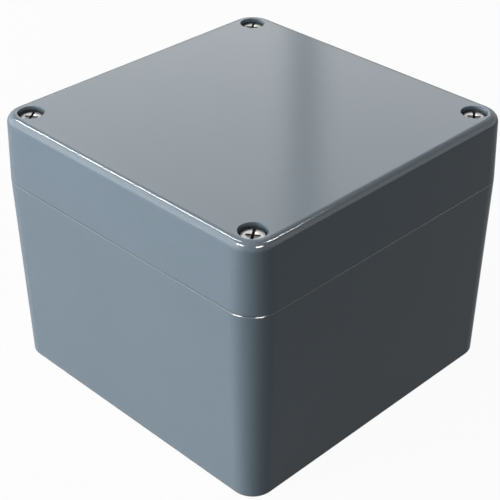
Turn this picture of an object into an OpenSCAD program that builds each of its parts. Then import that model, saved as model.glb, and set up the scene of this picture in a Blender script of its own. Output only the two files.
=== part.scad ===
// Die cast aluminium box with a screwed cover. All lengths are in millimetres.
// The origin is the middle of the base's underside, and +Z points up through the cover.

/* [Box] */
// Length along X at the parting line, where the box is widest
box_l = 101; // [95:1:160]
// Width along Y at the parting line
box_w = 101; // [95:1:160]
// Height of the base, from its underside to the parting line
base_h = 60; // [45:1:110]
// Height of the cover above the parting line
cover_h = 20; // [18:0.5:30]
// Radius of the upright corners at the parting line
corner_r = 8; // [7:0.5:9]
// Taper of the base's outer faces, towards its underside
base_draft = 1.3; // [0.5:0.1:1.5]
// Taper of the cover's outer faces, towards its top
cover_draft = 2; // [0.5:0.5:3]
// Taper of all inner faces
inner_draft = 1; // [0.5:0.5:2]
// Thickness of the base's side walls at the parting line
wall = 3.7; // [3.4:0.1:5]
// Thickness of the base's floor
floor_t = 3.5; // [3:0.5:5]
// Thickness of the cover's top
top_t = 3.5; // [3:0.5:4]

/* [Edges] */
// Radius round the cover's top edge
top_edge_r = 2.4; // [1.4:0.2:2.6]
// Radius round the base's bottom edge
foot_edge_r = 0.8; // [0.4:0.2:1.6]
// Radius on the base's outer edge at the parting line
rim_edge_r = 0.4; // [0.2:0.1:0.6]
// Radius on the cover's outer edge at the parting line
cover_edge_r = 0.3; // [0.2:0.1:0.6]
// Size of the sloping edge between the base's floor and its inner walls
floor_edge = 1.5; // [0.5:0.25:1.5]
// Size of the sloping edge between the cover's top and its inner walls
roof_edge = 0.75; // [0.25:0.25:1]

/* [Seal] */
// Width of the gasket's groove in the cover
groove_w = 2.4; // [2.2:0.1:3]
// Depth of the groove above the parting line
groove_depth = 3.5; // [3:0.5:5]
// Width of the base's sealing rib
tongue_w = 1.2; // [1:0.1:1.6]
// Height of the sealing rib above the parting line
tongue_h = 1.5; // [1:0.25:2.5]
// Width of the ledge between the sealing rib and the inside of the base
ledge = 0.2; // [0.1:0.1:0.5]
// Thickness of the cover's inner lip beside the groove
lip_t = 1.2; // [1:0.1:2]
// Radius of the seal's middle line where it turns
seal_turn_r = 4; // [3.5:0.25:4.5]
// Play of the gasket at each side in its groove
gasket_play = 0.05; // [0.02:0.01:0.1]

/* [Cover screws] */
// Distance of each cover screw's axis from the sides of the box
screw_inset = 7.5; // [7:0.25:8.5]
// Diameter of the sunk hole for the screw's head
sink_d = 7.6; // [7:0.1:8]
// Depth of the head's top below the cover's top
head_sink = 1.2; // [0.8:0.1:1.6]
// Diameter of the head
head_d = 6; // [5.6:0.1:6.4]
// Height of the head
head_h = 2.5; // [2.2:0.1:3]
// Height of the sloping edge round the head's top
head_edge_h = 0.15; // [0.05:0.05:0.3]
// Width of the sloping edge round the head's top
head_edge_w = 0.6; // [0.3:0.1:0.8]
// Width of the straight slot across the head
slot_w = 0.75; // [0.6:0.05:0.9]
// Depth of the straight slot
slot_depth = 1; // [0.8:0.1:1.2]
// Length of the cross recess at the head's top
cross_l = 3.8; // [3.2:0.1:4.2]
// Length of the cross recess at its bottom
cross_foot_l = 1.4; // [1.2:0.1:1.8]
// Depth of the cross recess
cross_depth = 1.7; // [1.4:0.1:1.9]
// Direction of the slot, from the X axis
slot_turn = 126; // [0:1:179]
// Outer diameter of the thread
thread_d = 4; // [3.8:0.1:4.2]
// Diameter of the plain neck between the head and the thread
neck_d = 3.1; // [2.8:0.1:3.3]
// Length of thread that holds in the base when the cover is closed
thread_grip = 7.7; // [5.6:0.7:8.4]
// Depth of the plain mouth above the thread in the base
mouth_depth = 5; // [3:0.5:8]
// Diameter of that plain mouth
mouth_d = 5; // [4.6:0.1:5.4]
// Free depth of the threaded hole below the screw's tip
tip_room = 3; // [2:0.5:5]
// Radial play between a thread and its hole
thread_play = 0.05; // [0.02:0.01:0.1]
// Diameter of the cover's hole round the neck
cover_hole_d = 4.5; // [4.4:0.1:4.8]

/* [Screw retainers] */
// Outer diameter of the ring that keeps a screw in the cover
ring_d = 6.4; // [6:0.1:6.6]
// Thickness of the ring
ring_t = 1.2; // [1:0.1:1.6]
// Radial play between the ring and the screw's neck
ring_play = 0.05; // [0.02:0.01:0.1]
// Height of the thread's upper end above the parting line
ring_gap = 0.6; // [0.4:0.1:1.2]
// Gap round the ring in its chamber, and above it when the screw is out
chamber_gap = 0.3; // [0.2:0.05:0.5]

/* [Wall fixing] */
// Distance along Y from a cover screw to the fixing hole beside it
fix_pitch = 12; // [11:0.5:14]
// Diameter of the fixing hole
fix_hole_d = 4.5; // [4:0.1:5.5]
// Diameter of the channel that leads down to the fixing hole
channel_d = 8; // [7.5:0.1:8.4]
// Thickness of the ledge that the fixing screw clamps
fix_ledge_t = 5; // [4:0.5:8]
// Thickness of metal between the channel and the seal's groove
web = 1.5; // [1.2:0.1:2]
// Diameter of the hollow in the cover above each channel
pocket_d = 7; // [6:0.5:7.5]
// Thickness of metal left above that hollow
pocket_roof = 5; // [4:0.5:8]

/* [Inner bosses] */
// Distance between the mounting bosses along X
boss_pitch_x = 54; // [40:1:58]
// Distance between the mounting bosses along Y
boss_pitch_y = 54; // [40:1:70]
// Diameter of a mounting boss at its top
boss_d = 8; // [7:0.5:9]
// Height of the bosses above the floor, and below the cover's top for the earth boss
boss_h = 6; // [5:0.5:10]
// Core diameter of the M4 holes in the mounting bosses
boss_hole_d = 3.3; // [3.2:0.1:3.4]
// Depth of the holes in the bosses
boss_hole_depth = 7.5; // [7:0.5:8]

/* [Earth terminals] */
// Distance of each earth terminal from the outside of the box at the parting line
earth_inset = 14; // [13:0.5:18]
// Diameter of an earth boss at its free end
earth_boss_d = 10.5; // [10:0.5:12]
// Side of the square wire clamp
clamp_w = 9; // [8:0.5:9.5]
// Thickness of the clamp's sheet
clamp_t = 1; // [0.8:0.1:1.2]
// Height of the clamp's turned-down edges, where the wire lies
clamp_lip_h = 0.8; // [0.5:0.1:1.5]
// Outer diameter of the earth screw's thread
earth_thread_d = 4; // [3.8:0.1:4.2]
// Radial play of the clamp and the spring washer on that thread
washer_play = 0.15; // [0.1:0.05:0.3]
// Free depth of an earth screw's hole below its tip
earth_tip_room = 1; // [0.5:0.25:1.5]
// Outer diameter of the spring washer
spring_d = 7.6; // [7:0.1:8]
// Thickness of the spring washer
spring_t = 0.9; // [0.8:0.1:1.2]
// Width of the cut in the spring washer
spring_cut = 0.6; // [0.4:0.1:1]
// Diameter of the earth screw's head
earth_head_d = 7; // [6.5:0.1:7.6]
// Height of the earth screw's head
earth_head_h = 2.6; // [2.4:0.1:3]
// Length of the earth screw below its head
earth_screw_l = 8; // [7:0.5:8.5]

/* [Hidden] */
$fn = 64;

paint = [0.52, 0.56, 0.60];
rubber = [0.20, 0.20, 0.21];
steel = [0.80, 0.80, 0.79];
nylon = [0.92, 0.91, 0.86];
brass = [0.80, 0.66, 0.35];

total_h = base_h + cover_h;
// Extra reach of a cut past the face that it opens
past = 1;

// Cover screw axis and the fixing hole beside it, where X and Y are positive
screw_x = box_l / 2 - screw_inset;
screw_y = box_w / 2 - screw_inset;
fix_x = screw_x;
fix_y = screw_y - fix_pitch;
// Side of the box that each cover screw is on, in the order of the screws' numbers
QUARTERS = [[-1, -1], [1, -1], [1, 1], [-1, 1]];

// Middle line of the seal. It follows the walls at seal_x and seal_y, and steps in to notch_x
// and notch_y round each corner pillar, so that the screws and fixing holes stay outside it
seal_x = box_l / 2 - wall + ledge + tongue_w / 2;
seal_y = box_w / 2 - wall + ledge + tongue_w / 2;
notch_x = fix_x - channel_d / 2 - web - groove_w / 2;
notch_y = fix_y - channel_d / 2 - web - groove_w / 2;

// Inner faces at the parting line, measured inwards from that middle line
base_inset = tongue_w / 2 + ledge;
cover_inset = groove_w / 2 + lip_t;

// Heights, from the underside of the base
floor_z = floor_t;
roof_z = total_h - top_t;
tongue_top_z = base_h + tongue_h;
groove_top_z = base_h + groove_depth;
head_seat_z = total_h - head_sink - head_h;
shoulder_z = base_h + ring_gap;
chamber_top_z = shoulder_z + ring_t + thread_grip + chamber_gap;
thread_top_z = base_h - mouth_depth;
tip_z = thread_top_z - thread_grip;

// Earth terminals stand on the middle of the front wall's side
earth_y = earth_inset - box_w / 2;
earth_reach = earth_screw_l - clamp_lip_h - clamp_t - spring_t;
spring_z = clamp_lip_h + clamp_t;
earth_head_z = spring_z + spring_t;

// ---- Shared shapes ----

// The quarter where X and Y are positive, copied to all four corners of the box
module all_quarters() {
    for (mx = [0, 1], my = [0, 1]) mirror([mx, 0, 0]) mirror([0, my, 0]) children();
}

module at_screw(i) {
    translate([QUARTERS[i][0] * screw_x, QUARTERS[i][1] * screw_y, 0]) children();
}

// Side profile of a casting, from an upright corner's axis out to a leaning outer face, with a
// round at the foot and at the head. The round's middle lies one radius inside both faces
module side_profile(foot_x, head_x, h, foot_r, head_r) {
    lean = atan((head_x - foot_x) / h);
    out = [cos(lean), -sin(lean)];
    foot_c = [foot_x + foot_r * tan(lean) - foot_r / cos(lean), foot_r];
    head_c = [foot_x + (h - head_r) * tan(lean) - head_r / cos(lean), h - head_r];
    polygon([[0, 0], [foot_c[0], 0], foot_c + foot_r * out,
             head_c + head_r * out, [head_c[0], h], [0, h]]);
    translate(foot_c) circle(foot_r);
    translate(head_c) circle(head_r);
}

// Block with upright corners of radius r, its sides shaped by the profile given as the child
module profiled_block(l, w, r, h) {
    core_l = l - 2 * r;
    core_w = w - 2 * r;
    translate([-core_l / 2, -core_w / 2, 0]) cube([core_l, core_w, h]);
    for (m = [0, 1]) {
        mirror([m, 0, 0]) translate([core_l / 2, core_w / 2, 0])
            rotate([90, 0, 0]) linear_extrude(core_w) children();
        mirror([0, m, 0]) translate([-core_l / 2, core_w / 2, 0])
            rotate([90, 0, 90]) linear_extrude(core_l) children();
    }
    all_quarters() translate([core_l / 2, core_w / 2, 0]) rotate_extrude(angle = 90) children();
}

// Block with upright corners whose faces lean: half sizes x and y and radius r at its foot, all
// growing by grow up to its head
module tapered_block(x, y, r, h, grow) {
    for (cx = [r - x, x - r], cy = [r - y, y - r])
        translate([cx, cy, 0]) cylinder(h = h, r1 = r, r2 = r + grow);
    rotate([90, 0, 0]) translate([0, 0, r - y]) linear_extrude(2 * (y - r))
        polygon([[-x, 0], [x, 0], [x + grow, h], [-x - grow, h]]);
    rotate([90, 0, 90]) translate([0, 0, r - x]) linear_extrude(2 * (x - r))
        polygon([[-y, 0], [y, 0], [y + grow, h], [-y - grow, h]]);
}

// Hollow inside the seal's line: a cross of two tapered blocks, rounded where they meet. It
// stands on z = 0, where its faces lie inset from the seal's middle line, and opens upwards
module cross_hollow(inset, h, grow) {
    turn_r = seal_turn_r - inset;
    round_r = seal_turn_r + inset;
    round_x = notch_x + seal_turn_r;
    round_y = notch_y + seal_turn_r;
    tapered_block(seal_x - inset, notch_y - inset, turn_r, h, grow);
    tapered_block(notch_x - inset, seal_y - inset, turn_r, h, grow);
    all_quarters() difference() {
        translate([round_x - round_r - past, round_y - round_r - past, 0])
            cube([round_r + past, round_r + past, h]);
        translate([round_x, round_y, 0]) cylinder(h = h, r1 = round_r, r2 = round_r - grow);
    }
}

// The same hollow, depth deep below a parting line at z = 0, where it lies inset from the
// seal's middle line. A sloping edge leads from its faces to its bottom
module casting_hollow(inset, depth, edge) {
    grow = (depth - edge) * tan(inner_draft);
    reach = depth - edge + past;
    translate([0, 0, -depth]) cross_hollow(inset + grow + edge, edge, edge);
    translate([0, 0, edge - depth])
        cross_hollow(inset + grow, reach, reach * tan(inner_draft));
}

// Flat outline of the seal's line, moved outwards by grow
module seal_outline(grow) {
    turn_r = seal_turn_r + grow;
    round_r = seal_turn_r - grow;
    for (half = [[seal_x + grow, notch_y + grow], [notch_x + grow, seal_y + grow]]) {
        flat = [half[0] - turn_r, half[1] - turn_r];
        square([2 * half[0], 2 * flat[1]], center = true);
        square([2 * flat[0], 2 * half[1]], center = true);
        for (cx = [-flat[0], flat[0]], cy = [-flat[1], flat[1]]) translate([cx, cy]) circle(turn_r);
    }
    all_quarters() difference() {
        translate([notch_x + grow - past, notch_y + grow - past]) square(round_r + past);
        translate([notch_x + seal_turn_r, notch_y + seal_turn_r]) circle(round_r);
    }
}

// Flat band of width w along the seal's middle line
module seal_band(w) {
    difference() {
        seal_outline(w / 2);
        seal_outline(-w / 2);
    }
}

// ---- Base ----

module base_outside() {
    foot_r = corner_r - base_h * tan(base_draft);
    profiled_block(box_l, box_w, corner_r, base_h)
        side_profile(foot_r, corner_r, base_h, foot_edge_r, rim_edge_r);
}

// Mouth, thread and drilled point for a cover screw
module base_screw_hole() {
    bore_r = thread_d / 2 + thread_play;
    bore_end = tip_z - tip_room;
    translate([0, 0, thread_top_z]) cylinder(h = mouth_depth + past, d = mouth_d);
    translate([0, 0, bore_end]) cylinder(h = thread_top_z + past - bore_end, r = bore_r);
    translate([0, 0, bore_end - bore_r / 2]) cylinder(h = bore_r / 2, r1 = 0, r2 = bore_r);
}

module fixing_hole() {
    translate([0, 0, -past]) cylinder(h = fix_ledge_t + 2 * past, d = fix_hole_d);
    translate([0, 0, fix_ledge_t]) cylinder(h = base_h, d = channel_d);
}

// Boss on a casting's inner face at z = 0, wider at its root, which runs into the casting
module boss(top_d) {
    grow = (boss_h + past) * tan(inner_draft);
    translate([0, 0, -past]) cylinder(h = boss_h + past, r1 = top_d / 2 + grow, r2 = top_d / 2);
}

// Hole for an earth screw, down from a boss's face at z = 0
module earth_hole() {
    bore_r = earth_thread_d / 2 + thread_play;
    depth = earth_reach + earth_tip_room;
    translate([0, 0, -depth]) cylinder(h = depth + past, r = bore_r);
}

module at_mounting_bosses() {
    for (bx = [-0.5, 0.5], by = [-0.5, 0.5])
        translate([bx * boss_pitch_x, by * boss_pitch_y, floor_z]) children();
}

module base_housing() {
    color(paint) difference() {
        union() {
            difference() {
                base_outside();
                translate([0, 0, base_h]) casting_hollow(base_inset, base_h - floor_t, floor_edge);
            }
            translate([0, 0, base_h - past]) linear_extrude(past + tongue_h) seal_band(tongue_w);
            at_mounting_bosses() boss(boss_d);
            translate([0, earth_y, floor_z]) boss(earth_boss_d);
        }
        all_quarters() translate([screw_x, screw_y, 0]) base_screw_hole();
        all_quarters() translate([fix_x, fix_y, 0]) fixing_hole();
        at_mounting_bosses() translate([0, 0, boss_h - boss_hole_depth])
            cylinder(h = boss_hole_depth + past, d = boss_hole_d);
        translate([0, earth_y, floor_z + boss_h]) earth_hole();
    }
}

// ---- Cover ----

module cover_outside() {
    head_x = corner_r - cover_h * tan(cover_draft);
    profiled_block(box_l, box_w, corner_r, cover_h)
        side_profile(corner_r, head_x, cover_h, cover_edge_r, top_edge_r);
}

// Sunk seat for the head, hole for the neck and chamber for the retaining ring
module cover_screw_hole() {
    chamber_d = ring_d + 2 * chamber_gap;
    translate([0, 0, head_seat_z]) cylinder(h = cover_h, d = sink_d);
    translate([0, 0, base_h]) cylinder(h = cover_h - past, d = cover_hole_d);
    translate([0, 0, base_h - past]) cylinder(h = chamber_top_z - base_h + past, d = chamber_d);
}

module cover() {
    color(paint) difference() {
        union() {
            difference() {
                translate([0, 0, base_h]) cover_outside();
                translate([0, 0, base_h]) mirror([0, 0, 1])
                    casting_hollow(cover_inset, cover_h - top_t, roof_edge);
            }
            translate([0, earth_y, roof_z]) mirror([0, 0, 1]) boss(earth_boss_d);
        }
        translate([0, 0, base_h - past]) linear_extrude(past + groove_depth) seal_band(groove_w);
        all_quarters() translate([screw_x, screw_y, 0]) cover_screw_hole();
        all_quarters() translate([fix_x, fix_y, base_h - past])
            cylinder(h = past + cover_h - pocket_roof, d = pocket_d);
        translate([0, earth_y, roof_z - boss_h]) mirror([0, 0, 1]) earth_hole();
    }
}

// Ring of rubber that fills the groove down to the sealing rib
module cover_gasket() {
    color(rubber) translate([0, 0, tongue_top_z])
        linear_extrude(groove_depth - tongue_h) seal_band(groove_w - 2 * gasket_play);
}

// ---- Cover screws ----

// Straight slot and cross recess, sunk from a head's face at z = 0
module drive_recess(across) {
    translate([-across / 2, -slot_w / 2, -slot_depth]) cube([across, slot_w, slot_depth + past]);
    for (turn = [0, 90]) rotate([90, 0, turn]) translate([0, 0, -slot_w / 2])
        linear_extrude(slot_w) polygon([
            [-cross_foot_l / 2, -cross_depth], [cross_foot_l / 2, -cross_depth],
            [cross_l / 2, 0], [cross_l / 2, past], [-cross_l / 2, past], [-cross_l / 2, 0]]);
}

// Head that stands on z = 0, its top edge sloping down
module screw_head(d, h) {
    difference() {
        union() {
            cylinder(h = h - head_edge_h, d = d);
            translate([0, 0, h - head_edge_h])
                cylinder(h = head_edge_h, d1 = d, d2 = d - 2 * head_edge_w);
        }
        translate([0, 0, h]) rotate([0, 0, slot_turn]) drive_recess(d + 2 * past);
    }
}

// Thread drawn as a plain rod of its outer diameter, with a sloping tip
module threaded_rod(d, core_d, bottom_z, top_z) {
    tip_h = (d - core_d) / 2;
    translate([0, 0, bottom_z]) cylinder(h = tip_h, d1 = core_d, d2 = d);
    translate([0, 0, bottom_z + tip_h]) cylinder(h = top_z - bottom_z - tip_h, d = d);
}

module cover_screw(i) {
    color(steel) at_screw(i) {
        translate([0, 0, head_seat_z]) screw_head(head_d, head_h);
        translate([0, 0, shoulder_z]) cylinder(h = head_seat_z - shoulder_z, d = neck_d);
        threaded_rod(thread_d, neck_d, tip_z, shoulder_z);
    }
}

// Ring on a screw's neck, resting on the upper end of the thread
module screw_retainer(i) {
    color(nylon) at_screw(i) translate([0, 0, shoulder_z]) difference() {
        cylinder(h = ring_t, d = ring_d);
        translate([0, 0, -past]) cylinder(h = ring_t + 2 * past, d = neck_d + 2 * ring_play);
    }
}

// ---- Earth terminals ----

module at_base_earth() {
    translate([0, earth_y, floor_z + boss_h]) children();
}

module at_cover_earth() {
    translate([0, earth_y, roof_z - boss_h]) mirror([0, 0, 1]) children();
}

// Square wire clamp: a flat top between two edges that are turned down onto the boss
module earth_clamp() {
    bend_x = clamp_w / 2 - clamp_t;
    color(brass) difference() {
        rotate([90, 0, 0]) translate([0, 0, -clamp_w / 2]) linear_extrude(clamp_w) {
            translate([-bend_x, clamp_lip_h]) square([2 * bend_x, clamp_t]);
            for (side = [-1, 1]) {
                translate([side * bend_x, clamp_lip_h]) intersection() {
                    circle(clamp_t);
                    translate([side * clamp_t / 2, clamp_t / 2]) square(clamp_t, center = true);
                }
                translate([side * (bend_x + clamp_t / 2), clamp_lip_h / 2])
                    square([clamp_t, clamp_lip_h], center = true);
            }
        }
        translate([0, 0, -past]) cylinder(h = clamp_lip_h + clamp_t + 2 * past,
                                          d = earth_thread_d + 2 * washer_play);
    }
}

module earth_spring_washer() {
    color(steel) translate([0, 0, spring_z]) difference() {
        cylinder(h = spring_t, d = spring_d);
        translate([0, 0, -past])
            cylinder(h = spring_t + 2 * past, d = earth_thread_d + 2 * washer_play);
        translate([0, -spring_cut / 2, -past]) cube([spring_d, spring_cut, spring_t + 2 * past]);
    }
}

module earth_screw() {
    color(steel) {
        translate([0, 0, earth_head_z]) screw_head(earth_head_d, earth_head_h);
        threaded_rod(earth_thread_d, neck_d, earth_head_z - earth_screw_l, earth_head_z);
    }
}

base_housing();
cover();
cover_gasket();
for (i = [0:3]) {
    cover_screw(i);
    screw_retainer(i);
}
at_base_earth() earth_clamp();  // base_earth_clamp
at_base_earth() earth_spring_washer();  // base_earth_spring_washer
at_base_earth() earth_screw();  // base_earth_screw
at_cover_earth() earth_clamp();  // cover_earth_clamp
at_cover_earth() earth_spring_washer();  // cover_earth_spring_washer
at_cover_earth() earth_screw();  // cover_earth_screw
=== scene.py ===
"""Looks of the die cast aluminium box: coat and bare metal of the castings, threaded cover screws,
gasket, retaining rings, earth terminals, and the stage that they are shown on.

All lengths are in metres. The origin is the middle of the base's underside, and +Z points up
through the cover. Every finished piece sits at the origin with its place in its mesh.
"""

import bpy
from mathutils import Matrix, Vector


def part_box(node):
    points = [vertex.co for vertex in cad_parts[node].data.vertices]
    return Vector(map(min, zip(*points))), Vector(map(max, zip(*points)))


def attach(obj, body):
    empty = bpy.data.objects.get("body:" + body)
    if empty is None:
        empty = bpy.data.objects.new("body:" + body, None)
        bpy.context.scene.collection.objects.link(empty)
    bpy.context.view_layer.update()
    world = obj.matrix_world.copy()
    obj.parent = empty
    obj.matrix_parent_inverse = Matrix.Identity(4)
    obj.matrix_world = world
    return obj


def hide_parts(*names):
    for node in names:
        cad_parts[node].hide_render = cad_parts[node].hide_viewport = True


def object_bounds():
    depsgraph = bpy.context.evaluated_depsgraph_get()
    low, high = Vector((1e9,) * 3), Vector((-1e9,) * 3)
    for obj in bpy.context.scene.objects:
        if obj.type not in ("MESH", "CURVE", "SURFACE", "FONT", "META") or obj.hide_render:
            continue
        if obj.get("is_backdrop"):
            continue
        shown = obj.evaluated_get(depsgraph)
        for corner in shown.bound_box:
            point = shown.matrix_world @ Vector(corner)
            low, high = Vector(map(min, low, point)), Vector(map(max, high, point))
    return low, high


bl_info = {
    "name": "Die cast aluminium box",
    "version": (1, 0, 0),
    "blender": (4, 5, 0),
    "location": "View3D > Sidebar > Box",
    "description": "Finishes the castings, screws and seal of a die cast box and sets its stage",
    "category": "Object",
}

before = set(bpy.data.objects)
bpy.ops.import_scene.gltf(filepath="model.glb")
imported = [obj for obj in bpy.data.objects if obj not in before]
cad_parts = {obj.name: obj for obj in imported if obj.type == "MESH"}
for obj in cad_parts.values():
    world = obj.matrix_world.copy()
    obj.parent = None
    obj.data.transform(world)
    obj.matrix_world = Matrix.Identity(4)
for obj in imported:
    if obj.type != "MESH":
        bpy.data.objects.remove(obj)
CAD_LOW, CAD_HIGH = (list(corner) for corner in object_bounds())

import math

import bmesh
import bpy
import numpy as np
from bpy.props import FloatProperty, FloatVectorProperty, IntProperty, PointerProperty

MM = 0.001
COVER_SCREWS = ("cover_screw_1", "cover_screw_2", "cover_screw_3", "cover_screw_4")
RETAINERS = ("screw_retainer_1", "screw_retainer_2", "screw_retainer_3", "screw_retainer_4")


def lows_and_highs(node):
    """Lowest and highest corner of a CAD node, as two arrays."""
    low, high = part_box(node)
    return np.array(low), np.array(high)


SCREW_LOW, SCREW_HIGH = lows_and_highs("cover_screw_3")
GASKET_LOW, GASKET_HIGH = lows_and_highs("cover_gasket")
RING_LOW, RING_HIGH = lows_and_highs("screw_retainer_3")
# Axis of each cover screw, as far out along X as along Y from the middle of the box
SCREW_AXIS = (SCREW_LOW + SCREW_HIGH) / 2
PARTING_Z = float(RING_LOW[2]) - 0.6 * MM


# ---------------------------------------------------------------- settings

class CastingSettings(bpy.types.PropertyGroup):
    """Powder coat outside, bare cast metal inside."""
    coat_colour: FloatVectorProperty(
        name="Coat colour", description="Colour of the powder coat", subtype="COLOR", size=3,
        min=0, max=1, default=(0.202, 0.262, 0.313))
    metal_colour: FloatVectorProperty(
        name="Metal colour", description="Colour of the bare cast aluminium", subtype="COLOR",
        size=3, min=0, max=1, default=(0.5, 0.5, 0.495))
    coat_roughness: FloatProperty(
        name="Coat roughness", description="Roughness of the powder coat", min=0, max=1,
        default=0.07)
    peel_size: FloatProperty(
        name="Orange peel size", description="Width of the coat's shallow waves",
        subtype="DISTANCE", unit="LENGTH", min=0.0001, default=0.4 * MM)
    peel_depth: FloatProperty(
        name="Orange peel depth", description="Depth of the coat's shallow waves",
        subtype="DISTANCE", unit="LENGTH", min=0, default=0.014 * MM)
    corner_radius: FloatProperty(
        name="Corner radius", description="Radius of the box's upright corners",
        subtype="DISTANCE", unit="LENGTH", min=0.001, default=8 * MM)


class ScrewSettings(bpy.types.PropertyGroup):
    """Cover screws with a rolled thread."""
    pitch: FloatProperty(
        name="Pitch", description="Rise of the thread in one turn", subtype="DISTANCE",
        unit="LENGTH", min=0.0003, default=0.7 * MM)
    major_radius: FloatProperty(
        name="Thread radius", description="Radius of the thread's crest", subtype="DISTANCE",
        unit="LENGTH", min=0.001, default=1.98 * MM)
    core_radius: FloatProperty(
        name="Core radius", description="Radius of the thread's root", subtype="DISTANCE",
        unit="LENGTH", min=0.0005, default=1.56 * MM)
    sides: IntProperty(
        name="Sides", description="Faces round one turn of the thread", min=12, default=48)
    steel_colour: FloatVectorProperty(
        name="Steel colour", description="Colour of the stainless screws", subtype="COLOR",
        size=3, min=0, max=1, default=(0.66, 0.645, 0.62))


class SealSettings(bpy.types.PropertyGroup):
    """Gasket in the cover's groove."""
    notch_x: FloatProperty(
        name="Notch X", description="Seal's middle line beside a pillar, along X",
        subtype="DISTANCE", unit="LENGTH", min=0.01, default=36.3 * MM)
    notch_y: FloatProperty(
        name="Notch Y", description="Seal's middle line beside a pillar, along Y",
        subtype="DISTANCE", unit="LENGTH", min=0.01, default=24.3 * MM)
    turn_radius: FloatProperty(
        name="Turn radius", description="Radius of the seal's middle line where it turns",
        subtype="DISTANCE", unit="LENGTH", min=0.001, default=4 * MM)
    rib_width: FloatProperty(
        name="Rib width", description="Width of the rib that presses into the gasket",
        subtype="DISTANCE", unit="LENGTH", min=0.0005, default=1.2 * MM)
    lip_depth: FloatProperty(
        name="Lip depth", description="How far the gasket swells down beside the rib",
        subtype="DISTANCE", unit="LENGTH", min=0, default=0.5 * MM)
    rubber_colour: FloatVectorProperty(
        name="Rubber colour", description="Colour of the gasket", subtype="COLOR", size=3,
        min=0, max=1, default=(0.022, 0.022, 0.023))


class StageSettings(bpy.types.PropertyGroup):
    """Camera, lamps and floor."""
    azimuth: FloatProperty(
        name="Azimuth", description="Direction of the camera round the box", subtype="ANGLE",
        default=math.radians(45.07))
    elevation: FloatProperty(
        name="Elevation", description="Height of the camera above the horizon",
        subtype="ANGLE", default=math.radians(33.05))
    roll: FloatProperty(
        name="Roll", description="Tilt of the camera about its view", subtype="ANGLE",
        default=math.radians(-0.05))
    distance: FloatProperty(
        name="Distance", description="Distance of the camera from the point it looks at",
        subtype="DISTANCE", unit="LENGTH", min=0.1, default=387.3 * MM)
    aim: FloatVectorProperty(
        name="Aim", description="Point that the camera looks at", subtype="TRANSLATION",
        unit="LENGTH", size=3, default=(-0.55 * MM, -0.51 * MM, 34.9 * MM))
    lens: FloatProperty(
        name="Focal length", description="Focal length of the camera in millimetres",
        min=10, default=95.23)
    floor_size: FloatProperty(
        name="Floor size", description="Side of the floor", subtype="DISTANCE",
        unit="LENGTH", min=1, default=6)
    floor_colour: FloatVectorProperty(
        name="Floor colour", description="Colour of the floor", subtype="COLOR", size=3,
        min=0, max=1, default=(0.8, 0.8, 0.8))
    fill: FloatProperty(
        name="Fill", description="Strength of the even light from all round", min=0,
        default=0.18)


class BoxSettings(bpy.types.PropertyGroup):
    """All settings of the box."""
    casting: PointerProperty(type=CastingSettings)
    screw: PointerProperty(type=ScrewSettings)
    seal: PointerProperty(type=SealSettings)
    stage: PointerProperty(type=StageSettings)


# ---------------------------------------------------------------- shader maths

class Wire:
    """An output socket of a material. Python's operators on wires and numbers add Math nodes."""

    def __init__(self, look, socket):
        self.look, self.socket = look, socket

    def maths(self, operation, *values, clamp=False):
        node = self.look.node("ShaderNodeMath", {"operation": operation, "use_clamp": clamp},
                              dict(enumerate(values)))
        return Wire(self.look, node.outputs[0])

    def __add__(self, other): return self.maths("ADD", self, other)
    def __radd__(self, other): return self.maths("ADD", other, self)
    def __sub__(self, other): return self.maths("SUBTRACT", self, other)
    def __rsub__(self, other): return self.maths("SUBTRACT", other, self)
    def __mul__(self, other): return self.maths("MULTIPLY", self, other)
    def __rmul__(self, other): return self.maths("MULTIPLY", other, self)
    def __truediv__(self, other): return self.maths("DIVIDE", self, other)
    def __rtruediv__(self, other): return self.maths("DIVIDE", other, self)
    def __pow__(self, other): return self.maths("POWER", self, other)
    def __abs__(self): return self.maths("ABSOLUTE", self)

    def step_up(self, edge, width):
        """0 below edge, rising evenly to 1 at edge + width."""
        return self.maths("MULTIPLY_ADD", self, 1 / width, -edge / width, clamp=True)

    def larger(self, other): return self.maths("MAXIMUM", self, other)
    def smaller(self, other): return self.maths("MINIMUM", self, other)
    def sine(self): return self.maths("SINE", self)


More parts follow.
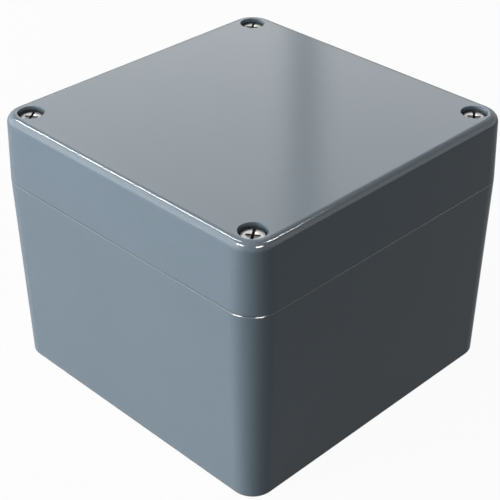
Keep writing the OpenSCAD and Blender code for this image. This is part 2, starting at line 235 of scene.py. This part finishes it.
class Look:
    """A material that is being made, and the wires of its nodes."""

    def __init__(self, name):
        self.material = bpy.data.materials.new(name)
        self.material.use_nodes = True
        self.tree = self.material.node_tree
        self.tree.nodes.clear()

    def node(self, kind, settings=None, values=None):
        """Adds a node of that type: its settings first, a ramp's stops among them, then the
        values or wires of its sockets, by name or number."""
        node = self.tree.nodes.new(kind)
        for key, value in (settings or {}).items():
            if key == "stops":
                ramp = node.color_ramp.elements
                while len(ramp) < len(value):
                    ramp.new(1)
                for stop, (place, colour) in zip(ramp, value):
                    stop.position, stop.color = place, (*colour, 1)
            else:
                setattr(node, key, value)
        for key, value in (values or {}).items():
            socket = node.inputs[key]
            if isinstance(value, Wire):
                self.tree.links.new(value.socket, socket)
            elif isinstance(socket.default_value, float) or isinstance(value, str):
                socket.default_value = value
            else:
                size = len(socket.default_value)
                socket.default_value = (tuple(value) + (1,) * size)[:size]
        return node

    def wire(self, kind, settings=None, values=None, out=0):
        return Wire(self, self.node(kind, settings, values).outputs[out])

    def place(self):
        """Object coordinates, in metres."""
        return self.wire("ShaderNodeTexCoord", out="Object")

    def parts(self, vector):
        node = self.node("ShaderNodeSeparateXYZ", values={0: vector})
        return [Wire(self, node.outputs[i]) for i in range(3)]

    def length_of(self, *parts):
        """Length of the vector with those parts."""
        return sum((part * part for part in parts[1:]), parts[0] * parts[0]) ** 0.5

    def noise(self, place, size, detail=2, roughness=0.5, **settings):
        """Noise from 0 to 1 whose lumps are about size wide."""
        return self.wire("ShaderNodeTexNoise", settings, {
            "Vector": place, "Scale": 1 / size, "Detail": detail, "Roughness": roughness})

    def blend(self, factor, first, second):
        """Colour that goes from first to second as the factor goes from 0 to 1."""
        return self.wire("ShaderNodeMix", {"data_type": "RGBA"},
                         {0: factor, 6: first, 7: second}, out=2)

    def bump(self, height, depth, below=None):
        """Normal of a surface whose height goes from 0 to depth as the wire goes from 0 to 1."""
        values = {"Height": height, "Distance": depth, "Strength": 1}
        if below is not None:
            values["Normal"] = below
        return self.wire("ShaderNodeBump", values=values)

    def finish(self, **values):
        """Adds the surface shader with those values or wires, and gives the material."""
        shader = self.node("ShaderNodeBsdfPrincipled",
                           values={key.replace("_", " "): v for key, v in values.items()})
        output = self.node("ShaderNodeOutputMaterial")
        self.tree.links.new(shader.outputs[0], output.inputs["Surface"])
        return self.material


# ---------------------------------------------------------------- meshes

def put_in_mesh(name, points, faces):
    """Object of that name at the origin, with those points and faces in its mesh."""
    mesh = bpy.data.meshes.new(name)
    mesh.from_pydata(points.reshape(-1, 3).tolist(), [], faces)
    mesh.update()
    piece = bpy.data.objects.new(name, mesh)
    bpy.context.scene.collection.objects.link(piece)
    return piece


def ring_faces(rows, columns, closed_rows=False):
    """Faces of a grid of rows x columns points whose columns close into a ring."""
    row = np.arange(rows if closed_rows else rows - 1)[:, None]
    column = np.arange(columns)[None, :]
    above, beside = (row + 1) % rows, (column + 1) % columns
    corners = np.stack(np.broadcast_arrays(
        row * columns + column, row * columns + beside,
        above * columns + beside, above * columns + column), -1)
    return corners.reshape(-1, 4)


def clean(piece, smooth_angle=None):
    """Merges doubles, drops faces without area, fills open ends and points the faces outwards."""
    work = bmesh.new()
    work.from_mesh(piece.data)
    bmesh.ops.remove_doubles(work, verts=work.verts, dist=1e-7)
    bmesh.ops.dissolve_degenerate(work, edges=work.edges, dist=1e-7)
    open_edges = [edge for edge in work.edges if edge.is_boundary]
    if open_edges:
        bmesh.ops.holes_fill(work, edges=open_edges, sides=0)
    bmesh.ops.recalc_face_normals(work, faces=work.faces)
    work.to_mesh(piece.data)
    work.free()
    if smooth_angle is not None:
        piece.data.shade_smooth()
        piece.data.set_sharp_from_angle(angle=smooth_angle)
    return piece


def thread(low_z, high_z, settings):
    """Points and faces of a thread round the Z axis, from low_z to high_z.

    Row t of column angle a stands at height low_z + pitch * (t + a / full turn), so the rows
    follow the helix. Four rows a turn are the two edges of the root and the two of the crest.
    The height is held between low_z and high_z, and the radius falls to the core at both ends:
    over a sloping tip below, and over one pitch of run-out above."""
    pitch, core, major = settings.pitch, settings.core_radius, settings.major_radius
    turns = int(math.ceil((high_z - low_z) / pitch)) + 2
    # Share of a pitch at which the root ends, the crest starts, the crest ends, the root starts
    shares = np.array([0.0, 0.25, 0.5625, 0.6875])
    radii = np.array([core, core, major, major])
    t = (np.arange(-1, turns)[:, None] + shares[None, :]).ravel()
    radius = np.tile(radii, turns + 1)
    a = np.arange(settings.sides) / settings.sides
    z = np.clip(low_z + pitch * (t[:, None] + a[None, :]), low_z, high_z)
    rise = np.clip((z - low_z) / (major - core), 0, 1) * np.clip((high_z - z) / pitch, 0, 1)
    r = core + (radius[:, None] - core) * rise
    angle = 2 * np.pi * np.broadcast_to(a[None, :], z.shape)
    points = np.stack([r * np.cos(angle), r * np.sin(angle), z], -1)
    rows, columns = z.shape
    # The last column joins the first one a whole turn, which is four rows, higher up
    row = np.arange(rows - 4)[:, None]
    column = np.arange(columns)[None, :]
    wraps = column == columns - 1
    beside = np.where(wraps, 0, column + 1)
    turned = np.where(wraps, row + 4, row)
    upper_row, upper_turned = row + 1, np.minimum(turned + 1, rows - 1)
    corners = np.stack(np.broadcast_arrays(
        row * columns + column, turned * columns + beside,
        upper_turned * columns + beside, upper_row * columns + column), -1)
    return points, corners.reshape(-1, 4)


# ---------------------------------------------------------------- looks

def casting_look(name, coated, settings, rim=False):
    """Powder coat where coated(look, place) is 1, and bare cast metal where it is 0."""
    look = Look(name)
    place = look.place()
    edge_wander = (look.noise(place, 1.5 * MM) - 0.5) * (0.3 * MM)
    coat = coated(look, place, edge_wander)
    # Broad, faint differences of tone, and fine speckle of the powder
    tone = look.noise(place, 40 * MM, detail=3)
    speckle = look.noise(place, 0.25 * MM, detail=1)
    shade = (tone - 0.5) * 0.10 + (speckle - 0.5) * 0.16
    coat_colour = look.wire("ShaderNodeHueSaturation", values={
        "Color": settings.coat_colour, "Value": shade + 1.0})
    skin = look.noise(place, 6 * MM, detail=4, roughness=0.6)
    flow = look.wire("ShaderNodeTexNoise", {}, {
        "Vector": place, "Scale": 1 / (16 * MM), "Detail": 5, "Distortion": 1.2})
    metal_colour = look.wire("ShaderNodeHueSaturation", values={
        "Color": settings.metal_colour, "Value": (skin - 0.5) * 0.25 + (flow - 0.5) * 0.3 + 1.0})
    # Painted shade: a near-black line along the joint between the castings, where the gap's shadow
    # falls, and some in the screws' seats, whose walls lie in shade
    x, y, z = look.parts(place)
    joint_shade = 1 - abs(z - PARTING_Z).step_up(0.11 * MM, 0.05 * MM)
    r = look.length_of(abs(x) - float(SCREW_AXIS[0]), abs(y) - float(SCREW_AXIS[1]))
    seat = ((4 * MM - r).step_up(0, 0.1 * MM) * z.step_up(CAD_HIGH[2] - 4.5 * MM, 0.1 * MM)
            * (CAD_HIGH[2] - 0.3 * MM - z).step_up(0, 0.9 * MM))
    painted_shade = (joint_shade + seat * 0.75).smaller(1)
    # Painted shade: the coat goes towards near black in the joint and the seats
    coat_colour = look.blend(painted_shade * 0.9, coat_colour, (0.02, 0.02, 0.02))
    colour = look.blend(coat, metal_colour, coat_colour)
    roughness = (coat * (settings.coat_roughness + (tone - 0.5) * 0.02 + painted_shade * 0.6)
                 + (1 - coat) * (0.42 + (skin - 0.5) * 0.3))
    peel = look.noise(place, settings.peel_size, detail=1.5, roughness=0.45)
    grit = look.noise(place, 0.35 * MM, detail=2, roughness=0.7)
    normal = look.bump(peel * coat, settings.peel_depth)
    normal = look.bump(grit * (1 - coat), 0.02 * MM, below=normal)
    if rim:
        # The base's rim is a narrow bevel: there the surface leans 45 degrees outwards
        nx, ny, nz = look.parts(look.wire("ShaderNodeNewGeometry", out="Normal"))
        spread = look.length_of(nx, ny).larger(0.001) * 2 ** 0.5
        bevel = look.wire("ShaderNodeCombineXYZ", values={0: nx / spread, 1: ny / spread,
                                                          2: 0.5 ** 0.5})
        on_rim = coat * (z.step_up(PARTING_Z - 0.4 * MM, 0.04 * MM)
                         * (PARTING_Z - z).step_up(0, 0.02 * MM))
        normal = look.wire("ShaderNodeMix", {"data_type": "VECTOR"},
                           {0: on_rim, 4: normal, 5: bevel}, out=1)
    return look.finish(Base_Color=colour, Metallic=1 - coat, Roughness=roughness,
                       Normal=normal, Specular_IOR_Level=0.4)


def steel_look(name, colour, lathe, centre, top, head):
    """Steel with fine turning marks round the axes at plus and minus centre, and painted shade in
    the slot and cross of a head of that radius whose face is at height top."""
    look = Look(name)
    place = look.place()
    x, y, z = look.parts(place)
    r = look.length_of(abs(x) - float(centre[0]), abs(y) - float(centre[1]))
    scratches = look.noise(place, 0.5 * MM, detail=3, roughness=0.7)
    smear = look.noise(place, 2.2 * MM, detail=3)
    rings = (r * (2 * math.pi / lathe) + (smear - 0.5) * 3).sine()
    tint = look.wire("ShaderNodeHueSaturation", values={
        "Color": colour, "Value": (smear - 0.5) * 0.2 + rings * 0.02 + 1.0})
    # Painted shade in the slot and cross: below the head's face, which slopes near its edge
    face = top - 0.05 * MM - (r - (head - 0.6 * MM)).larger(0) * 0.25
    recess = ((face - z).step_up(0, 0.08 * MM) * (z - (top - 2 * MM)).step_up(0, 0.1 * MM)
              * (head - 0.08 * MM - r).step_up(0, 0.03 * MM))
    # Painted shade: the slot and cross are coloured near black
    tint = look.blend(recess * 0.96, tint, (0.012, 0.011, 0.010))
    normal = look.bump(rings * 0.5 + 0.5, 0.0012 * MM)
    normal = look.bump(scratches, 0.003 * MM, below=normal)
    return look.finish(Base_Color=tint, Metallic=1.0, Normal=normal,
                       Roughness=0.3 + (scratches - 0.5) * 0.25 + recess * 0.4)


def plated_look(name, colour, grain):
    """Plated or drawn metal with a fine matt grain and faint clouding."""
    look = Look(name)
    place = look.place()
    cloud = look.noise(place, 2.5 * MM, detail=4)
    fine = look.noise(place, grain, detail=2, roughness=0.6)
    tint = look.wire("ShaderNodeHueSaturation", values={
        "Color": colour, "Value": (cloud - 0.5) * 0.4 + 1.0})
    return look.finish(Base_Color=tint, Metallic=1.0, Roughness=0.33 + (fine - 0.5) * 0.3,
                       Normal=look.bump(fine, 0.004 * MM))


def plastic_look(name, colour, roughness, grain, depth):
    """Moulded plastic or rubber with a fine grain."""
    look = Look(name)
    place = look.place()
    cloud = look.noise(place, 5 * MM, detail=3)
    fine = look.noise(place, grain, detail=3, roughness=0.65)
    tint = look.wire("ShaderNodeHueSaturation", values={
        "Color": colour, "Value": (cloud - 0.5) * 0.3 + (fine - 0.5) * 0.2 + 1.0})
    return look.finish(Base_Color=tint, Roughness=roughness + (cloud - 0.5) * 0.15,
                       Normal=look.bump(fine, depth))


def dress(piece, material):
    """Gives a piece or a CAD node that one material."""
    piece.data.materials.clear()
    piece.data.materials.append(material)


# ---------------------------------------------------------------- operators

class BOX_OT_castings(bpy.types.Operator):
    """Coat both castings outside and leave their insides bare"""
    bl_idname = "die_cast_box.castings"
    bl_label = "Finish the castings"

    def execute(self, context):
        settings = context.scene.die_cast_box.casting
        half = float(CAD_HIGH[0]) + 0.01 * MM
        corner = settings.corner_radius

        def skin(look, place, wander, lean, from_z):
            """1 within 0.6 mm of the leaning outer faces, whose distance from the corner
            axes is the length of the parts of |x| and |y| that lie beyond those axes."""
            x, y, z = look.parts(place)
            beyond = look.length_of(
                (abs(x) - (half - corner)).larger(0), (abs(y) - (half - corner)).larger(0))
            face = corner - abs(z - from_z) * math.tan(math.radians(lean))
            return (beyond + wander - face).step_up(-0.65 * MM, 0.1 * MM), x, y, z

        def base_coat(look, place, wander):
            outside, x, y, z = skin(look, place, wander, 1.3, PARTING_Z)
            underside = (0.3 * MM - z).step_up(0, 0.05 * MM)
            return outside.larger(underside)

        def cover_coat(look, place, wander):
            outside, x, y, z = skin(look, place, wander, 2.0, PARTING_Z)
            top = z.step_up(CAD_HIGH[2] - 3.4 * MM, 0.05 * MM)
            r = look.length_of(abs(x) - float(SCREW_AXIS[0]), abs(y) - float(SCREW_AXIS[1]))
            seat = ((4 * MM - r).step_up(0, 0.05 * MM)
                    * z.step_up(CAD_HIGH[2] - 3.9 * MM, 0.05 * MM))
            return outside.larger(top).larger(seat)

        for node, coated, rim in (("base_housing", base_coat, True), ("cover", cover_coat, False)):
            dress(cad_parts[node], casting_look("coat_" + node, coated, settings, rim))
        return {"FINISHED"}


class BOX_OT_cover_screws(bpy.types.Operator):
    """Build the four cover screws: the head and neck of the frame's screw, and a helical thread"""
    bl_idname = "die_cast_box.cover_screws"
    bl_label = "Build the cover screws"

    def execute(self, context):
        settings = context.scene.die_cast_box.screw
        look = steel_look("stainless_screw", settings.steel_colour, 0.16 * MM, SCREW_AXIS,
                          float(SCREW_HIGH[2]), float(SCREW_HIGH[0] - SCREW_AXIS[0]))
        for number, node in enumerate(COVER_SCREWS, 1):
            low, high = lows_and_highs(node)
            axis = (low + high) / 2
            thread_top = PARTING_Z + 0.6 * MM
            points, faces = thread(low[2], thread_top, settings)
            points = points + np.array([axis[0], axis[1], 0])
            rod = clean(put_in_mesh("rod_%d" % number, points, faces.tolist()))
            # Upper part of the frame's own screw: its head, recess and neck
            work = bmesh.new()
            work.from_mesh(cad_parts[node].data)
            bmesh.ops.remove_doubles(work, verts=work.verts, dist=1e-7)
            cut = bmesh.ops.bisect_plane(
                work, geom=work.verts[:] + work.edges[:] + work.faces[:], dist=1e-8,
                plane_co=(0, 0, thread_top - 0.1 * MM), plane_no=(0, 0, 1), clear_inner=True)
            rim = [part for part in cut["geom_cut"] if isinstance(part, bmesh.types.BMEdge)]
            bmesh.ops.contextual_create(work, geom=rim)
            bmesh.ops.recalc_face_normals(work, faces=work.faces)
            work.from_mesh(rod.data)
            work.to_mesh(rod.data)
            work.free()
            rod.name = "stainless_screw_%d" % number
            rod.data.name = rod.name
            rod.data.shade_smooth()
            rod.data.set_sharp_from_angle(angle=math.radians(28))
            dress(rod, look)
            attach(rod, "screw_%d" % number)
            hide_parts(node)
        return {"FINISHED"}


class BOX_OT_retainers(bpy.types.Operator):
    """Give the screws' retaining rings their nylon"""
    bl_idname = "die_cast_box.retainers"
    bl_label = "Finish the retaining rings"

    def execute(self, context):
        look = plastic_look("nylon", (0.78, 0.76, 0.68), 0.42, 0.3 * MM, 0.006 * MM)
        for node in RETAINERS:
            dress(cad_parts[node], look)
        return {"FINISHED"}


class BOX_OT_gasket(bpy.types.Operator):
    """Build the gasket, with the print of the sealing rib in its lower side"""
    bl_idname = "die_cast_box.gasket"
    bl_label = "Build the gasket"

    def execute(self, context):
        settings = context.scene.die_cast_box.seal
        low, high = GASKET_LOW, GASKET_HIGH
        width = 2.3 * MM
        line_x, line_y = float(high[0]) - width / 2, float(high[1]) - width / 2
        path, side = seal_path(line_x, line_y, settings)
        section = gasket_section(width, float(low[2]), float(high[2]), settings)
        # Each point of the path carries the section: its first part along the path's side
        # direction, its second part up
        points = np.empty((len(path), len(section), 3))
        points[..., :2] = path[:, None, :] + side[:, None, :] * section[None, :, :1]
        points[..., 2] = section[None, :, 1]
        faces = ring_faces(len(path), len(section), closed_rows=True)
        ring = clean(put_in_mesh("rubber_gasket", points, faces.tolist()), math.radians(40))
        dress(ring, plastic_look("rubber", settings.rubber_colour, 0.62, 0.18 * MM, 0.012 * MM))
        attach(ring, "cover")
        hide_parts("cover_gasket")
        return {"FINISHED"}


def seal_path(line_x, line_y, settings, steps=14):
    """Points of the seal's middle line and its outward side directions, once round.

    In the quarter where X and Y are positive, the line is a quarter circle round
    (line_x - turn, notch_y - turn), one the other way round (notch_x + turn, notch_y + turn)
    and a third round (notch_x - turn, line_y - turn). The other quarters are its mirror images,
    with every second one run backwards."""
    turn = settings.turn_radius
    u = np.linspace(0, np.pi / 2, steps)
    out = np.stack([np.cos(u), np.sin(u)], -1)
    back = np.stack([-np.sin(u), -np.cos(u)], -1)
    middles = np.array([[line_x - turn, settings.notch_y - turn],
                        [settings.notch_x + turn, settings.notch_y + turn],
                        [settings.notch_x - turn, line_y - turn]])
    quarter = np.concatenate([middles[0] + turn * out, middles[1] + turn * back[:, ::1],
                              middles[2] + turn * out])
    sides = np.concatenate([out, -back, out])
    ways = [((1, 1), 1), ((-1, 1), -1), ((-1, -1), 1), ((1, -1), -1)]
    path = np.concatenate([(quarter * np.array(signs))[::way] for signs, way in ways])
    side = np.concatenate([(sides * np.array(signs))[::way] for signs, way in ways])
    return path, side


def gasket_section(width, low_z, high_z, settings):
    """Closed outline of the gasket: flat in its groove above, and below two round lips beside
    the flat print of the rib. Each lip is half a wave, lip_depth deep."""
    half, print_half = width / 2, settings.rib_width / 2 + 0.03 * MM
    u = np.linspace(0, 1, 9)
    lip = np.stack([print_half + (half - print_half) * u,
                    low_z - settings.lip_depth * np.sin(np.pi * u) ** 0.8], -1)
    upper = np.array([[half, high_z - 0.25 * MM], [half - 0.25 * MM, high_z]])
    right = np.concatenate([lip, upper])
    left = right[::-1] * np.array([-1, 1])
    return np.concatenate([right, left])


class BOX_OT_earth_terminals(bpy.types.Operator):
    """Give the earth terminals their brass and plated steel"""
    bl_idname = "die_cast_box.earth_terminals"
    bl_label = "Finish the earth terminals"

    def execute(self, context):
        brass = plated_look("brass_clamp", (0.72, 0.53, 0.24), 0.2 * MM)
        zinc = plated_look("zinc_plate", (0.6, 0.61, 0.6), 0.15 * MM)
        for side in ("base", "cover"):
            dress(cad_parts[side + "_earth_clamp"], brass)
            dress(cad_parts[side + "_earth_spring_washer"], zinc)
            dress(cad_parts[side + "_earth_screw"], zinc)
        return {"FINISHED"}


# Name, place, aim, width, height, roll in degrees and brightness as seen, where 1 is white. The
# soft key lights the box, and the glints show only as reflections
KEY = ("key", (-0.80, -0.92, 0.45), (0, 0, 0.05), 2.0, 0.75, 0, 6.4)
# The glints of each row show in the pieces that the row names, or in all where it names none.
# The two screens lie behind the box, and the gap between them shows as a soft dark band across
# the cover. The edge glints draw the lines along the cover's top edges, and the corner glints the
# short ones at the front corner
GLINTS = (
    ((), ("key_glint", (-0.80, -0.92, 0.65), (0, 0, 0.05), 2.0, 1.3, 0, 1.9),
     ("back_glint", (0.95, 0.95, 0.45), (0, 0, 0.05), 1.2, 0.8, 0, 0.6)),
    (("cover",),
     ("screen_left", (-1.0762, 0.8185, 0.825), (-0.1275, -0.1278, 0.06), 0.479, 0.60, 0, 1.42),
     ("screen_right", (-0.7520, 1.1435, 0.825), (0.1967, 0.1972, 0.06), 0.363, 0.60, 0, 1.3),
     ("edge_glint_left", (-1.033, -0.063, 1.493), (0.127, -0.048, 0.193), 0.16, 0.95, 0, 36),
     ("edge_glint_right", (0.451, 0.847, 1.59), (0.091, -0.223, 0.22), 0.20, 0.56, 0, 48)),
    (("base_housing", "cover"),
     ("corner_glint_left", (-0.317, -1.062, 1.26), (0.113, -0.072, 0.08), 0.70, 0.36, 26, 32),
     ("corner_glint_right", (1.08, -0.328, 1.27), (-0.027, -0.021, 0.152), 0.68, 0.38, 0, 32)),
)


def add_lamp(name, place, target, width, height, roll, strength):
    """Rectangular lamp that faces the target. The strength is its brightness as seen, where
    1 is white."""
    data = bpy.data.lights.new(name, "AREA")
    data.shape, data.size, data.size_y = "RECTANGLE", width, height
    # A rectangle of that brightness gives off pi x area x brightness
    data.energy = strength * math.pi * width * height
    lamp = bpy.data.objects.new(name, data)
    bpy.context.scene.collection.objects.link(lamp)
    lamp.location = place
    lamp.rotation_euler = look_along(np.array(target) - np.array(place), math.radians(roll))
    lamp.visible_camera = False
    return lamp


def look_along(direction, roll=0.0):
    """Euler angles of an object whose -Z axis points along that direction, with Y up."""
    from mathutils import Matrix, Vector
    turn = Vector(direction).to_track_quat("-Z", "Y").to_matrix()
    return (turn @ Matrix.Rotation(roll, 3, "Z")).to_euler()


class BOX_OT_stage(bpy.types.Operator):
    """Set the camera, the lamps and the pale floor"""
    bl_idname = "die_cast_box.stage"
    bl_label = "Set the stage"

    def execute(self, context):
        scene, s = context.scene, context.scene.die_cast_box.stage
        back = np.array([math.sin(s.azimuth) * math.cos(s.elevation),
                         -math.cos(s.azimuth) * math.cos(s.elevation), math.sin(s.elevation)])
        data = bpy.data.cameras.new("camera")
        data.sensor_width, data.lens = 36, s.lens
        data.clip_start, data.clip_end = 0.01, 50
        camera = bpy.data.objects.new("camera", data)
        scene.collection.objects.link(camera)
        camera.location = np.array(s.aim) + back * s.distance
        camera.rotation_euler = look_along(-back, s.roll)
        scene.camera = camera

        add_lamp(*KEY).visible_glossy = False
        for shown_in, *glints in GLINTS:
            pieces = bpy.data.collections.new("_".join(("shown_in",) + shown_in))
            for node in shown_in:
                pieces.objects.link(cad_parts[node])
            for glint in glints:
                lamp = add_lamp(*glint)
                lamp.visible_diffuse = False
                if shown_in:
                    lamp.light_linking.receiver_collection = pieces

        half = s.floor_size / 2
        corners = np.array([[-half, -half, 0], [half, -half, 0], [half, half, 0], [-half, half, 0]])
        floor = put_in_mesh("floor", corners - np.array([0, 0, 0.05 * MM]), [(0, 1, 2, 3)])
        dress(floor, floor_look(s))
        floor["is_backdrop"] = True

        world = bpy.data.worlds.new("surroundings")
        scene.world = world
        world.use_nodes = True
        tree = world.node_tree
        tree.nodes.clear()
        rays = tree.nodes.new("ShaderNodeLightPath")
        seen = None
        for ray in ("Is Camera Ray", "Is Glossy Ray", "Is Transmission Ray"):
            if seen is None:
                seen = rays.outputs[ray]
                continue
            either = tree.nodes.new("ShaderNodeMath")
            either.operation = "MAXIMUM"
            tree.links.new(seen, either.inputs[0])
            tree.links.new(rays.outputs[ray], either.inputs[1])
            seen = either.outputs[0]
        even, white = (tree.nodes.new("ShaderNodeBackground") for _ in range(2))
        even.inputs["Color"].default_value = (1, 1, 1, 1)
        even.inputs["Strength"].default_value = s.fill
        white.inputs["Strength"].default_value = 1
        white.inputs["Color"].default_value = (1, 1, 1, 1)
        either_way, output = (tree.nodes.new(kind) for kind in
                              ("ShaderNodeMixShader", "ShaderNodeOutputWorld"))
        tree.links.new(seen, either_way.inputs[0])
        tree.links.new(even.outputs[0], either_way.inputs[1])
        tree.links.new(white.outputs[0], either_way.inputs[2])
        tree.links.new(either_way.outputs[0], output.inputs["Surface"])

        scene.view_settings.view_transform = "Standard"
        return {"FINISHED"}


def floor_look(settings):
    """White floor for the camera, with the box's soft shadow kept on it, and grey for light
    that it throws back at the box."""
    look = Look("pale_floor")
    place = look.place()
    rays = look.node("ShaderNodeLightPath")
    seen = Wire(look, rays.outputs["Is Camera Ray"])
    mirrored = Wire(look, rays.outputs["Is Glossy Ray"])
    grain = look.noise(place, 0.02, detail=3)
    colour = look.wire("ShaderNodeHueSaturation", values={
        "Color": settings.floor_colour, "Value": (grain - 0.5) * 0.02 + 1.0})
    grey = look.node("ShaderNodeBsdfDiffuse", values={"Color": (0.13, 0.13, 0.13)})
    pale = look.node("ShaderNodeBsdfDiffuse", values={"Color": colour})
    white = look.node("ShaderNodeEmission", values={"Color": (1, 1, 1), "Strength": 1.0})
    by_eye = look.node("ShaderNodeMixShader", values={0: 0.95})
    look.tree.links.new(pale.outputs[0], by_eye.inputs[1])
    look.tree.links.new(white.outputs[0], by_eye.inputs[2])
    pick = look.node("ShaderNodeMixShader", values={0: seen.larger(mirrored * 0.3)})
    look.tree.links.new(grey.outputs[0], pick.inputs[1])
    look.tree.links.new(by_eye.outputs[0], pick.inputs[2])
    output = look.node("ShaderNodeOutputMaterial")
    look.tree.links.new(pick.outputs[0], output.inputs["Surface"])
    return look.material


class BOX_PT_panel(bpy.types.Panel):
    """Sizes, colours and steps of the die cast box"""
    bl_idname = "BOX_PT_panel"
    bl_label = "Die cast box"
    bl_space_type = "VIEW_3D"
    bl_region_type = "UI"
    bl_category = "Box"

    def draw(self, context):
        settings = context.scene.die_cast_box
        for title, group, steps in PANEL_ROWS:
            box = self.layout.box()
            box.label(text=title)
            values = getattr(settings, group)
            for name in values.__annotations__:
                box.prop(values, name)
            for step in steps:
                box.operator(step)


PANEL_ROWS = (
    ("Castings", "casting", ("die_cast_box.castings",)),
    ("Cover screws", "screw", ("die_cast_box.cover_screws", "die_cast_box.retainers")),
    ("Seal", "seal", ("die_cast_box.gasket", "die_cast_box.earth_terminals")),
    ("Stage", "stage", ("die_cast_box.stage",)),
)
CLASSES = (
    CastingSettings, ScrewSettings, SealSettings, StageSettings, BoxSettings, BOX_OT_castings,
    BOX_OT_cover_screws, BOX_OT_retainers, BOX_OT_gasket, BOX_OT_earth_terminals, BOX_OT_stage,
    BOX_PT_panel)


def register():
    for entry in CLASSES:
        bpy.utils.register_class(entry)
    bpy.types.Scene.die_cast_box = PointerProperty(type=BoxSettings)


def unregister():
    del bpy.types.Scene.die_cast_box
    for entry in reversed(CLASSES):
        bpy.utils.unregister_class(entry)


def main():
    """Makes the whole scene."""
    register()
    steps = bpy.ops.die_cast_box
    for step in (steps.castings, steps.cover_screws, steps.retainers, steps.gasket,
                 steps.earth_terminals, steps.stage):
        if step() != {"FINISHED"}:
            raise RuntimeError("a step of the box did not finish")


if __name__ == "__main__":
    main()
